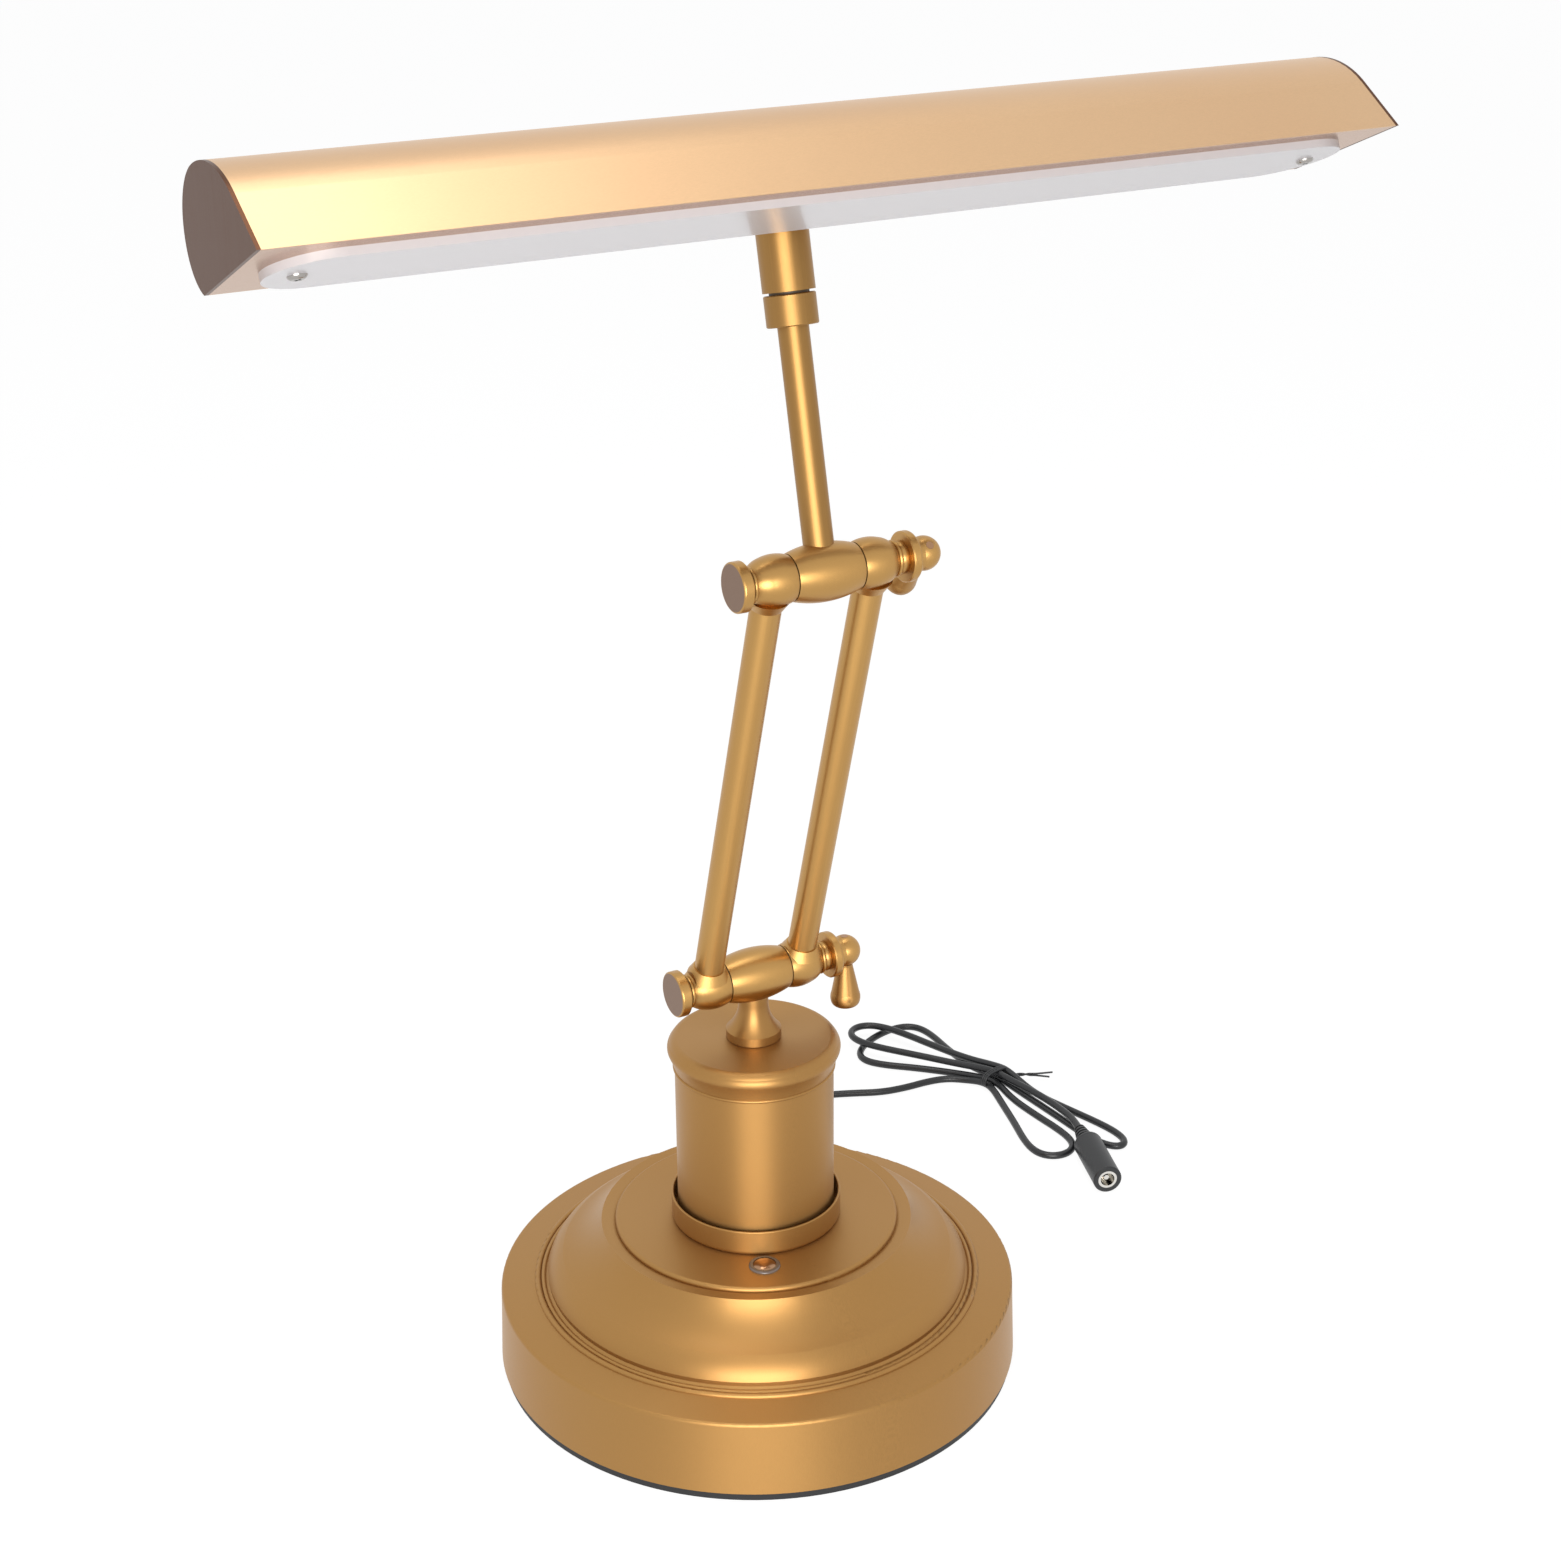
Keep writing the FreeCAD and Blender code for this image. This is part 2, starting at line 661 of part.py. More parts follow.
def shade_section(offset, skirt=0):
    """The shade's closed outline in its own section frame, drawn in by offset and carried on
    by skirt below its open side."""
    slope = math.radians(front_slope_deg)
    # the straight front and the arc over the top meet without a corner
    spread = math.sin(slope) ** 2 - math.cos(slope) * (1 - math.cos(slope))
    front_radius = (apex_place * math.sin(slope) - section_height * math.cos(slope)) / spread
    back_low = section_height - back_radius
    reach = apex_place + back_radius - open_side_width
    low_radius = (reach * reach + back_low * back_low) / (2 * reach)
    top_centre = V(0, apex_place, section_height - front_radius)
    back_centre = V(0, apex_place, back_low)
    low_centre = V(0, apex_place + back_radius - low_radius, back_low)

    def polar(centre, radius, angle):
        return centre + V(0, math.cos(angle), math.sin(angle)) * (radius - offset)
    quarter = math.pi / 2
    low_angle = -math.asin(back_low / low_radius)
    joint = polar(top_centre, front_radius, quarter + slope)
    apex = polar(top_centre, front_radius, quarter)
    rear = polar(back_centre, back_radius, 0)
    heel = polar(low_centre, low_radius, low_angle)
    lip = joint - V(0, math.cos(slope), math.sin(slope)) * (joint.z / math.sin(slope))
    edges = [
        line(lip, joint),
        arc(joint, polar(top_centre, front_radius, quarter + slope / 2), apex),
        arc(apex, polar(back_centre, back_radius, quarter / 2), rear),
        arc(rear, polar(low_centre, low_radius, low_angle / 2), heel),
    ]
    if skirt > 0:
        below_heel = V(0, heel.y, -skirt)
        below_lip = V(0, lip.y, -skirt)
        edges.append(line(heel, below_heel))
        edges.append(line(below_heel, below_lip))
        edges.append(line(below_lip, lip))
    else:
        edges.append(line(heel, lip))
    return Part.Face(Part.Wire(edges))


def shade_frame():
    """Placement that takes the section frame (x, u, w) to the lamp's frame."""
    tilt = math.radians(open_side_deg)
    rear = 0.0
    for k in range(0, 91):
        angle = math.radians(90 - k)
        u = apex_place + back_radius * math.cos(angle)
        w = section_height - back_radius + back_radius * math.sin(angle)
        rear = max(rear, u * math.cos(tilt) - w * math.sin(tilt))
    lip_back = -(sleeve_radius - saddle_depth) - rear
    lip = upper_axis + stem_axis * shade_lip_stem + stem_back * lip_back
    along = stem_back * math.cos(tilt) + stem_axis * math.sin(tilt)
    up = stem_axis * math.cos(tilt) - stem_back * math.sin(tilt)
    matrix = FreeCAD.Matrix(
        1, 0, 0, lip.x,
        0, along.y, up.y, lip.y,
        0, along.z, up.z, lip.z,
        0, 0, 0, 1)
    return FreeCAD.Placement(matrix)


def extruded(face, start, end):
    solid = face.extrude(V(end - start, 0, 0))
    solid.translate(V(start, 0, 0))
    return solid


def stadium(length, width, centre_u, low, high):
    half = length / 2 - width / 2
    radius = width / 2
    box = Part.makeBox(2 * half, width, high - low, V(-half, centre_u - radius, low))
    for x in (-half, half):
        box = box.fuse(Part.makeCylinder(radius, high - low, V(x, centre_u, low)))
    return box.removeSplitter()


def make_shade():
    frame = shade_frame()

    def placed(shape):
        copy = shape.copy()
        copy.Placement = frame.multiply(copy.Placement)
        return copy
    half = shade_length / 2
    outer = extruded(shade_section(0), -half, half)
    inner = extruded(shade_section(shade_sheet, 5), -half - 1, half + 1)
    shell = extruded(shade_section(0), -half + end_cap_sheet, half - end_cap_sheet).cut(inner)
    middle_u = open_side_width / 2

    # the wire hole and the two bolts through the back wall lie on the sleeve's axis
    holes = []
    for place in shade_bolt_places:
        centre = upper_axis + stem_axis * place
        holes.append(rod(shade_bolt_radius + seat_gap, -1, 20, centre, stem_back * -1))
    shell = placed(shell)
    sleeve = rod(sleeve_radius, sleeve_start, sleeve_end, upper_axis, stem_axis)
    top_edges = [e for e in sleeve.Edges
                 if abs((e.CenterOfMass - upper_axis).dot(stem_axis) - sleeve_end) < 0.01]
    sleeve = sleeve.makeFillet(sleeve_round, top_edges)
    sleeve = sleeve.cut(placed(outer))
    sleeve = sleeve.cut(rod(stud_radius + running_gap, sleeve_start - 1, stud_end + 0.5, upper_axis, stem_axis))
    sleeve = sleeve.Solids[0]
    grub_centre = upper_axis + stem_axis * sleeve_grub_place
    screw, grub_hole = grub_screw(grub_centre, stem_back, stud_radius, sleeve_radius)
    sleeve = sleeve.cut(grub_hole)
    saved("sleeve_grub_screw", screw)
    for hole in holes:
        sleeve = sleeve.cut(hole)
        shell = shell.cut(hole)
    saved("swivel_sleeve", sleeve)
    saved("shade_shell", shell)
    for side, word in ((-1, "left"), (1, "right")):
        low = min(side * half, side * (half - end_cap_sheet))
        saved("shade_end_" + word, placed(extruded(shade_section(0), low, low + end_cap_sheet)))
    length = shade_length - 2 * end_cap_sheet
    plate = extruded(shade_section(shade_sheet, 5), -length / 2, length / 2)
    plate = plate.common(Part.makeBox(shade_length, 80, shade_sheet, V(-half, -10, 0)))
    window = stadium(diffuser_length - 2 * window_end_margin, diffuser_width - 2 * window_margin,
                     middle_u, -5, 5)
    plate = plate.cut(window)
    diffuser = stadium(diffuser_length, diffuser_width, middle_u, -diffuser_height, 0)
    screws = []
    for x in (-diffuser_screw_place, diffuser_screw_place):
        centre = V(x, middle_u, 0)
        plate = plate.cut(rod(screw_radius, -1, shade_sheet + 1, centre))
        diffuser = diffuser.cut(rod(screw_radius, -diffuser_height - 1, 1, centre))
        low = -diffuser_height - screw_head_height
        head = [
            (0, low),
            (screw_head_radius - 1.3, low),
            (screw_head_radius - 0.4, low + 0.4, screw_head_radius, low + screw_head_height),
            (0, low + screw_head_height),
        ]
        screw = spun(head, centre).fuse(rod(screw_radius, low + 0.5, shade_sheet + 2.5, centre))
        for turn in (0, 90):
            slot = Part.makeBox(2.6, 0.6, 0.7, V(-1.3, -0.3, low - 0.1))
            slot.rotate(ORIGIN, Z_AXIS, turn + 20)
            slot.translate(centre)
            screw = screw.cut(slot)
        screws.append(placed(screw))
    saved("shade_bottom_plate", placed(plate))
    saved("diffuser", placed(diffuser))
    saved("diffuser_screws", screws)

    width = carrier_width
    carrier_low = shade_sheet + carrier_height
    web = Part.makeBox(2 * carrier_half_length, width, carrier_sheet,
                       V(-carrier_half_length, middle_u - width / 2, carrier_low))
    for x in (-carrier_half_length, carrier_half_length - carrier_foot):
        for u in (middle_u - width / 2, middle_u + width / 2 - carrier_sheet):
            leg = Part.makeBox(carrier_foot, carrier_sheet, carrier_height, V(x, u, shade_sheet))
            web = web.fuse(leg)
    saved("led_carrier", placed(web))
    board_low = carrier_low - led_board_height
    board_length = 2 * (carrier_half_length - led_board_margin)
    board = Part.makeBox(board_length, led_board_width, led_board_height,
                         V(-board_length / 2, middle_u - led_board_width / 2, board_low))
    saved("led_board", placed(board))
    chips = []
    pitch = (board_length - 2 * led_margin) / (led_count - 1)
    for k in range(led_count):
        x = -board_length / 2 + led_margin + k * pitch - led_size / 2
        chip = Part.makeBox(led_size, led_size, 0.7, V(x, middle_u - led_size / 2, board_low - 0.7))
        chips.append(placed(chip))
    saved("led_chips", chips)
    bolts = []
    reach = shade_bolt_head_radius + 1
    wall = extruded(shade_section(0), -reach, reach)
    wall = placed(wall.cut(extruded(shade_section(shade_sheet, 5), -reach - 1, reach + 1)))
    for place in shade_bolt_places:
        centre = upper_axis + stem_axis * place
        probe = rod(0.5, -1, 30, centre, stem_back * -1).common(wall)
        depth = max((v.Point - centre).dot(stem_back * -1) for v in probe.Vertexes)
        shank = rod(shade_bolt_radius, 2.0, depth + 1.0, centre, stem_back * -1)
        head = rod(shade_bolt_head_radius, depth - 1.0, depth + shade_bolt_head, centre, stem_back * -1)
        head = max(head.cut(wall).Solids, key=lambda solid: solid.Volume)
        bolts.append(shank.fuse(head))
    saved("shade_mount_screws", bolts)


def cord_line(points):
    """Straight runs between the points, joined by tangent arcs; also the arcs' radii."""
    edges = []
    radii = []
    last = points[0]
    for k in range(1, len(points) - 1):
        before = points[k] - points[k - 1]
        after = points[k + 1] - points[k]
        turn = before.getAngle(after)
        trim = 0.45 * min(before.Length, after.Length)
        bend = trim / math.tan(turn / 2)
        radii.append(bend)
        before.normalize()
        after.normalize()
        start = points[k] - before * trim
        end = points[k] + after * trim
        inward = (after - before).normalize()
        middle = points[k] + inward * (bend / math.cos(turn / 2) - bend)
        edges.append(line(last, start))
        edges.append(arc(start, middle, end))
        last = end
    edges.append(line(last, points[-1]))
    return Part.Wire(edges), radii


def cord_tube(points, name):
    path, radii = cord_line(points)
    circle = Part.Wire(Part.makeCircle(cord_radius, points[0], points[1] - points[0]))
    solid = path.makePipeShell([circle], True, False)
    expected = math.pi * cord_radius ** 2 * path.Length
    print(name, "length", round(path.Length, 1), "tightest", round(min(radii), 1),
          "volume ratio", round(solid.Volume / expected, 4))
    return solid, path


def least_gap(path):
    """Least clear distance between strands of one tube, between places over 12 mm of cord apart."""
    step = 1.0
    points = path.discretize(Distance=step)
    apart = 12
    least = 1000.0
    for i in range(len(points)):
        for k in range(i + apart, len(points)):
            least = min(least, points[i].distanceToPoint(points[k]))
    return least - 2 * cord_radius


def make_strain_relief():
    exit_centre = V(0, 0, cord_exit_height)
    outside = wall_radius(cord_exit_height - relief_flange_radius) + relief_fit
    inside = wall_radius(cord_exit_height + relief_flange_radius) - sheet - 2 * relief_fit
    flange_face = outside + relief_flange
    tip = wall_radius_at_exit + relief_length
    start = inside - relief_inner_flange
    plug = rod(relief_radius, start - 1.0, flange_face, exit_centre, back)
    inner_flange = rod(relief_flange_radius, start, inside, exit_centre, back)
    flange = rod(relief_flange_radius, outside, flange_face, exit_centre, back)
    taper = Part.makeCone(relief_radius, relief_tip_radius, tip - flange_face + 0.6,
                          exit_centre + back * (flange_face - 0.6), back)
    relief = plug.fuse(inner_flange).fuse(flange).fuse(taper)
    bore = rod(cord_radius + seat_gap, start - 5, tip + 1, exit_centre, back)
    saved("cord_strain_relief", relief.cut(bore))


def make_jack():
    angle = math.radians(jack_turn_deg)
    inward = V(-math.cos(angle), -math.sin(angle), 0)
    body = [
        (4.0, 0),
        (jack_radius - 0.5, 0),
        (jack_radius, 0.5),
        (jack_radius, jack_length - 3.0),
        (jack_radius - 0.3, jack_length - 1.0, jack_radius - 1.4, jack_length),
        (cord_radius, jack_length),
        (cord_radius, 14.0),
        (4.0, 10.4),
    ]
    relief = Part.makeCone(4.1, 2.4, jack_relief_length).cut(rod(cord_radius, -1, jack_relief_length + 1))
    for k in range(4):
        height = 1.6 + 2.5 * k
        relief = relief.cut(tube(6, 2.2, height, height + 1.1))
    sleeve = tube(4.0, 2.9, 0.2, 10.0)
    pin = rod(1.05, 2.0, 10.2).fuse(rod(4.0, 10.0, 10.4))
    rotation = FreeCAD.Rotation(Z_AXIS, inward)
    root = jack_tip + inward * jack_length
    for name, solid, place in (
            ("jack_body", spun(body), jack_tip), ("jack_sleeve", sleeve, jack_tip),
            ("jack_pin", pin, jack_tip), ("jack_relief", relief, root)):
        solid.Placement = FreeCAD.Placement(place, rotation)
        saved(name, solid)
    return inward


def waist_point(across, layer):
    turn = math.radians(hank_turn_deg)
    height = cord_radius + 0.05 + waist_lift + (layer - 1) * strand_pitch
    return hank_centre + V(across * math.cos(turn), across * math.sin(turn), height)


def hank_points():
    """The cord's path from the waist through each lobe in turn and back to the waist."""
    along = V(-math.sin(math.radians(hank_turn_deg)), math.cos(math.radians(hank_turn_deg)), 0)
    waist = [
        waist_point(-1.62 * strand_pitch, 1),
        waist_point(-0.5 * strand_pitch, 1),
        waist_point(0.5 * strand_pitch, 1),
        waist_point(1.3 * strand_pitch, 2),
        waist_point(0, 2),
    ]
    places = [1 / 48] + [k / 12 for k in range(1, 12)] + [47 / 48]
    points = []
    for k in range(4):
        direction_deg, length, half_width, sense, layer = hank_lobes[k]
        direction = math.radians(direction_deg)
        forward = V(math.cos(direction), math.sin(direction), 0)
        aside = V(-math.sin(direction), math.cos(direction), 0)
        away = along * (waist_run * (-1) ** (k + 1))
        points.append(waist[k] - away)
        points.append(waist[k] + away)
        level = cord_radius + 0.05 + (layer - 1) * strand_pitch
        for t in places:
            root = waist[k] + (waist[k + 1] - waist[k]) * t
            ahead = length * math.sqrt(math.sin(math.pi * t))
            point = root + forward * ahead + aside * (sense * half_width * math.sin(2 * math.pi * t))
            point.z = level
            points.append(point)
    points.append(waist[4] + along * waist_run)
    points.append(waist[4] - along * waist_run)
    return points


def make_tie():
    turn = math.radians(hank_turn_deg)
    top = 2 * cord_radius + strand_pitch + waist_lift + 0.2
    left = -1.62 * strand_pitch - cord_radius - 0.1
    right = 1.3 * strand_pitch + cord_radius + 0.1
    outer = Part.makeBox(right - left + 2 * tie_band, tie_width, top + tie_band,
                         V(left - tie_band, -tie_width / 2, 0))
    inner = Part.makeBox(right - left, tie_width + 2, top - tie_band, V(left, -tie_width / 2 - 1, tie_band))
    tie = outer.cut(inner)
    tail = Part.makeBox(19.0, tie_width, tie_band, V(right + tie_band, -tie_width / 2, 2.4))
    tail.rotate(V(right + tie_band, 0, 0), Z_AXIS, -48)
    tie = tie.fuse(tail)
    tie.rotate(ORIGIN, Z_AXIS, math.degrees(turn))
    tie.translate(hank_centre)
    saved("cord_tie", tie)


def make_cord():
    z = cord_radius + 0.05
    exit_centre = V(0, 0, cord_exit_height)
    hank = hank_points()
    lead = [
        exit_centre + back * (wall_radius_at_exit - 3.0),
        exit_centre + back * (wall_radius_at_exit + relief_length + 1.8),
        V(51.8, 115.2, 7.6),
        V(58.6, 127.2, 4.0),
        V(68.0, 137.2, z + 0.2),
        V(81.0, 144.6, z),
        V(96.5, 148.4, z),
        V(112.0, 147.2, z),
        V(125.5, 141.6, z),
        V(137.5, 135.6, z),
        V(149.5, 133.6, z),
        V(160.5, 133.4, z),
        V(169.5, 131.4, z),
        V(176.0, 126.2, z),
        hank[0],
    ]
    solid, path = cord_tube(lead, "cord_lead")
    total = path.Length
    saved("cord_lead", solid)
    solid, path = cord_tube(hank, "cord_hank")
    total += path.Length
    print("least gap between the hank's strands", round(least_gap(path), 2))
    saved("cord_hank", solid)
    inward = make_jack()
    relief_end = jack_tip + inward * (jack_length + jack_relief_length)
    tail = [
        hank[-1],
        V(189.6, 106.0, 5.9),
        V(191.9, 96.0, 5.7),
        V(193.2, 86.0, 5.7),
        V(193.4, 76.5, 5.8),
        relief_end + inward * 8.0,
        relief_end - inward * 4.0,
    ]
    solid, path = cord_tube(tail, "cord_tail")
    total += path.Length
    print("whole cord", round(total, 1))
    saved("cord_tail", solid)
    make_strain_relief()
    make_tie()


os.makedirs("parts", exist_ok=True)
top_of_ballast = make_foot()
make_rod()
make_dimmer(top_of_ballast)
make_sensor()
make_column()
make_neck()
make_knuckles_and_arms()
make_bolts()
make_levers()
make_stem()
make_shade()
make_cord()
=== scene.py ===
import bpy
import math
from mathutils import Matrix, Vector


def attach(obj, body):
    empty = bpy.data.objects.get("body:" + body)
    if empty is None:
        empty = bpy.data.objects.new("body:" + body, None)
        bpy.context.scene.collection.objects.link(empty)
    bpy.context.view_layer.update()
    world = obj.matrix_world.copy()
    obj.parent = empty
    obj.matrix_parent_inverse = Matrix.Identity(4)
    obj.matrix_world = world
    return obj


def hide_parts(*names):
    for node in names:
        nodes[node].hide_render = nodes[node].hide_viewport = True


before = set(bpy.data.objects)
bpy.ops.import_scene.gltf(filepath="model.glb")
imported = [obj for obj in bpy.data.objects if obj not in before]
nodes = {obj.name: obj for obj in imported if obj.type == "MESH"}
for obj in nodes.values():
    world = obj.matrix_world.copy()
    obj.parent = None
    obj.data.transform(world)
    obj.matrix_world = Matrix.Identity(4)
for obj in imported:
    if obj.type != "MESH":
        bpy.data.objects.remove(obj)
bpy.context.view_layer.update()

MM = 0.001
scene = bpy.context.scene
scene.view_settings.view_transform = "Standard"


# camera, at the photograph's place

camera_place = Vector((-0.399677, -0.735878, 0.579144))
camera_right = Vector((0.871055, -0.491118, -0.008110))
camera_up = Vector((0.195823, 0.332080, 0.922701))
camera_ahead = Vector((0.450462, 0.805311, -0.385432))
camera_data = bpy.data.cameras.new("camera")
camera_data.sensor_width = 36.0
camera_data.lens = 60.635
camera_data.clip_start = 0.05
camera = bpy.data.objects.new("camera", camera_data)
scene.collection.objects.link(camera)
camera.matrix_world = Matrix((
    (camera_right.x, camera_up.x, -camera_ahead.x, camera_place.x),
    (camera_right.y, camera_up.y, -camera_ahead.y, camera_place.y),
    (camera_right.z, camera_up.z, -camera_ahead.z, camera_place.z),
    (0, 0, 0, 1)))
scene.camera = camera


# materials

LINE_DETAIL = 3.0
LINE_ROUGHNESS = 0.6
LINE_BUMP = 0.10
LINE_DEPTH = 0.00005      # metres
LINE_STRETCH = 0.03       # how slowly the pattern changes along straight lines
RING_STRETCH = 0.010      # and along lines that run round the upright axis
LEAST_RADIUS = 0.0005     # metres, keeps the middle of a turned face from a division by zero
GLOSS_FROM = (0.3, 0.7)
MOTTLE_SCALE = 14.0
MOTTLE_DETAIL = 2.0
PATINA = (0.90, 0.72, 0.66)
FLAT_FACE = 0.99
LACQUER_ROUGHNESS = 0.18


def new_material(name):
    mat = bpy.data.materials.new(name)
    mat.use_nodes = True
    return mat, mat.node_tree, mat.node_tree.nodes["Principled BSDF"]


def plain(name, color, roughness, metallic=0.0, coat=0.0):
    mat, _, shader = new_material(name)
    shader.inputs["Base Color"].default_value = (*color, 1)
    shader.inputs["Roughness"].default_value = roughness
    shader.inputs["Metallic"].default_value = metallic
    shader.inputs["Coat Weight"].default_value = coat
    return mat


def math_node(tree, operation, a, b=None):
    node = tree.nodes.new("ShaderNodeMath")
    node.operation = operation
    for socket, value in zip(node.inputs, (a, b)):
        if value is None:
            continue
        if isinstance(value, (int, float)):
            socket.default_value = value
        else:
            tree.links.new(value, socket)
    return node.outputs[0]


def cross_node(tree, a, b):
    node = tree.nodes.new("ShaderNodeVectorMath")
    node.operation = "CROSS_PRODUCT"
    for socket, value in zip(node.inputs, (a, b)):
        if isinstance(value, tuple):
            socket.default_value = value
        else:
            tree.links.new(value, socket)
    return node.outputs[0]


def noise_node(tree, scale, detail):
    node = tree.nodes.new("ShaderNodeTexNoise")
    node.inputs["Scale"].default_value = scale
    node.inputs["Detail"].default_value = detail
    return node


def mix_node(tree, factor, a, b, blend="MIX"):
    node = tree.nodes.new("ShaderNodeMix")
    node.data_type = "RGBA"
    node.blend_type = blend
    tree.links.new(factor, node.inputs["Factor"])
    for socket, value in ((node.inputs["A"], a), (node.inputs["B"], b)):
        if isinstance(value, tuple):
            socket.default_value = (*value, 1)
        else:
            tree.links.new(value, socket)
    return node.outputs["Result"]


def brush_lay(axis, turn=0.0, side=1.0, turned=False):
    """How brush lines lie on a piece: the direction square to them, the piece's turn about X,
    how fast they change along Y, and whether they run round the upright axis."""
    return {"axis": axis, "turn": (turn, 0, 0), "side": side, "turned": turned}


def brush_coordinates(tree, lay):
    """Coordinates in metres whose first two run across the brush lines and whose last two
    run slowly along them."""
    place = tree.nodes.new("ShaderNodeTexCoord").outputs["Object"]
    mapping = tree.nodes.new("ShaderNodeMapping")
    mapping.inputs["Rotation"].default_value = lay["turn"]
    tree.links.new(place, mapping.inputs["Vector"])
    split = tree.nodes.new("ShaderNodeSeparateXYZ")
    tree.links.new(mapping.outputs[0], split.inputs[0])
    x, y, z = split.outputs
    if lay["turned"]:
        squares = [math_node(tree, "MULTIPLY", value, value) for value in (x, y)]
        radius = math_node(tree, "SQRT", math_node(tree, "ADD", *squares))
        safe = math_node(tree, "MAXIMUM", radius, LEAST_RADIUS)
        across = (radius, z)
        along = [math_node(tree, "MULTIPLY", math_node(tree, "DIVIDE", value, safe), RING_STRETCH)
                 for value in (x, y)]
    else:
        across = (x, math_node(tree, "MULTIPLY", y, lay["side"]))
        along = [math_node(tree, "MULTIPLY", value, LINE_STRETCH) for value in (z, y)]
    joined = tree.nodes.new("ShaderNodeCombineXYZ")
    for value, socket in zip((*across, along[0]), joined.inputs):
        tree.links.new(value, socket)
    return joined.outputs[0], along[1], place


def brush_tangent(tree, lay):
    """Direction square to the brush lines, along which a highlight spreads."""
    turn = tree.nodes.new("ShaderNodeVectorTransform")
    turn.vector_type = "VECTOR"
    turn.convert_from = "OBJECT"
    turn.convert_to = "WORLD"
    if lay["turned"]:
        place = tree.nodes.new("ShaderNodeTexCoord")
        lines = cross_node(tree, lay["axis"], place.outputs["Object"])
        across = cross_node(tree, lines, place.outputs["Normal"])
        tree.links.new(across, turn.inputs[0])
    else:
        turn.inputs[0].default_value = lay["axis"]
    return turn.outputs[0]


def brushed(name, color, lay, roughness=(0.32, 0.44), contrast=0.20, lines=800.0, mottle=0.14,
            spread=0.6, coat=0.05, ends=None):
    """Lacquered metal with fine brush lines in its colour, gloss and surface.  ends is the
    colour of the flat faces square to X."""
    mat, tree, shader = new_material(name)
    links = tree.links
    across, along, place = brush_coordinates(tree, lay)
    fine = noise_node(tree, lines, LINE_DETAIL)
    fine.noise_dimensions = "4D"
    fine.inputs["Roughness"].default_value = LINE_ROUGHNESS
    links.new(across, fine.inputs["Vector"])
    links.new(math_node(tree, "MULTIPLY", along, lines), fine.inputs["W"])
    broad = noise_node(tree, MOTTLE_SCALE, MOTTLE_DETAIL)
    links.new(place, broad.inputs["Vector"])
    darker = tuple(c * (1 - contrast) for c in color)
    lighter = tuple(c * (1 + contrast) for c in color)
    surface = mix_node(tree, fine.outputs["Fac"], darker, lighter)
    stain = math_node(tree, "MULTIPLY", broad.outputs["Fac"], mottle * 2)
    surface = mix_node(tree, stain, surface, PATINA, "MULTIPLY")
    if ends:
        split = tree.nodes.new("ShaderNodeSeparateXYZ")
        links.new(tree.nodes.new("ShaderNodeTexCoord").outputs["Normal"], split.inputs[0])
        squareness = math_node(tree, "ABSOLUTE", split.outputs[0])
        flat = math_node(tree, "GREATER_THAN", squareness, FLAT_FACE)
        surface = mix_node(tree, flat, surface, ends)
    links.new(surface, shader.inputs["Base Color"])
    gloss = tree.nodes.new("ShaderNodeMapRange")
    gloss.inputs["From Min"].default_value = GLOSS_FROM[0]
    gloss.inputs["From Max"].default_value = GLOSS_FROM[1]
    gloss.inputs["To Min"].default_value = roughness[0]
    gloss.inputs["To Max"].default_value = roughness[1]
    links.new(fine.outputs["Fac"], gloss.inputs["Value"])
    links.new(gloss.outputs["Result"], shader.inputs["Roughness"])
    bump = tree.nodes.new("ShaderNodeBump")
    bump.inputs["Strength"].default_value = LINE_BUMP
    bump.inputs["Distance"].default_value = LINE_DEPTH
    links.new(fine.outputs["Fac"], bump.inputs["Height"])
    links.new(bump.outputs["Normal"], shader.inputs["Normal"])
    shader.inputs["Metallic"].default_value = 1.0
    shader.inputs["Anisotropic"].default_value = spread
    links.new(brush_tangent(tree, lay), shader.inputs["Tangent"])
    shader.inputs["Coat Weight"].default_value = coat
    shader.inputs["Coat Roughness"].default_value = LACQUER_ROUGHNESS
    return mat


BRASS = (0.42, 0.235, 0.078)
# A lighter copy of the same brass: painted highlight on the barrels, knuckles, lever hubs, bolts
# and arms.
BRASS_PAINTED_HIGHLIGHT = (0.50, 0.295, 0.098)
# A darker copy of the same brass: painted shade on the stem, swivel collar and sleeve.
BRASS_PAINTED_SHADE_STEM = (0.36, 0.205, 0.066)
# A paler copy of the same brass for the shade shell: painted sheen, standing in for the lacquer's
# white reflection.
BRASS_PAINTED_SHEEN = (0.64, 0.43, 0.245)
# A much darker copy of the same brass for the shade's end caps: painted shade, the dark reflection
# on their side faces.
BRASS_PAINTED_SHADE_END = (0.115, 0.054, 0.030)
BRASS_FACED = (0.235, 0.15, 0.105)
BRASS_PLATE = (0.46, 0.28, 0.17)
LOWER_AXIS = (0.0, 0.1548)       # y and z in metres
UPPER_AXIS = (-0.0493, 0.3189)
arm_lean = math.atan2(LOWER_AXIS[0] - UPPER_AXIS[0], UPPER_AXIS[1] - LOWER_AXIS[1])
stem_lean = math.radians(13.0)

upright = brush_lay((0.0, 0.0, 1.0), turned=True)
sideways = brush_lay((1.0, 0.0, 0.0), side=0.03)
arm_along = brush_lay((0.0, -math.sin(arm_lean), math.cos(arm_lean)), turn=-arm_lean)
stem_along = brush_lay((0.0, math.sin(stem_lean), math.cos(stem_lean)), turn=stem_lean)

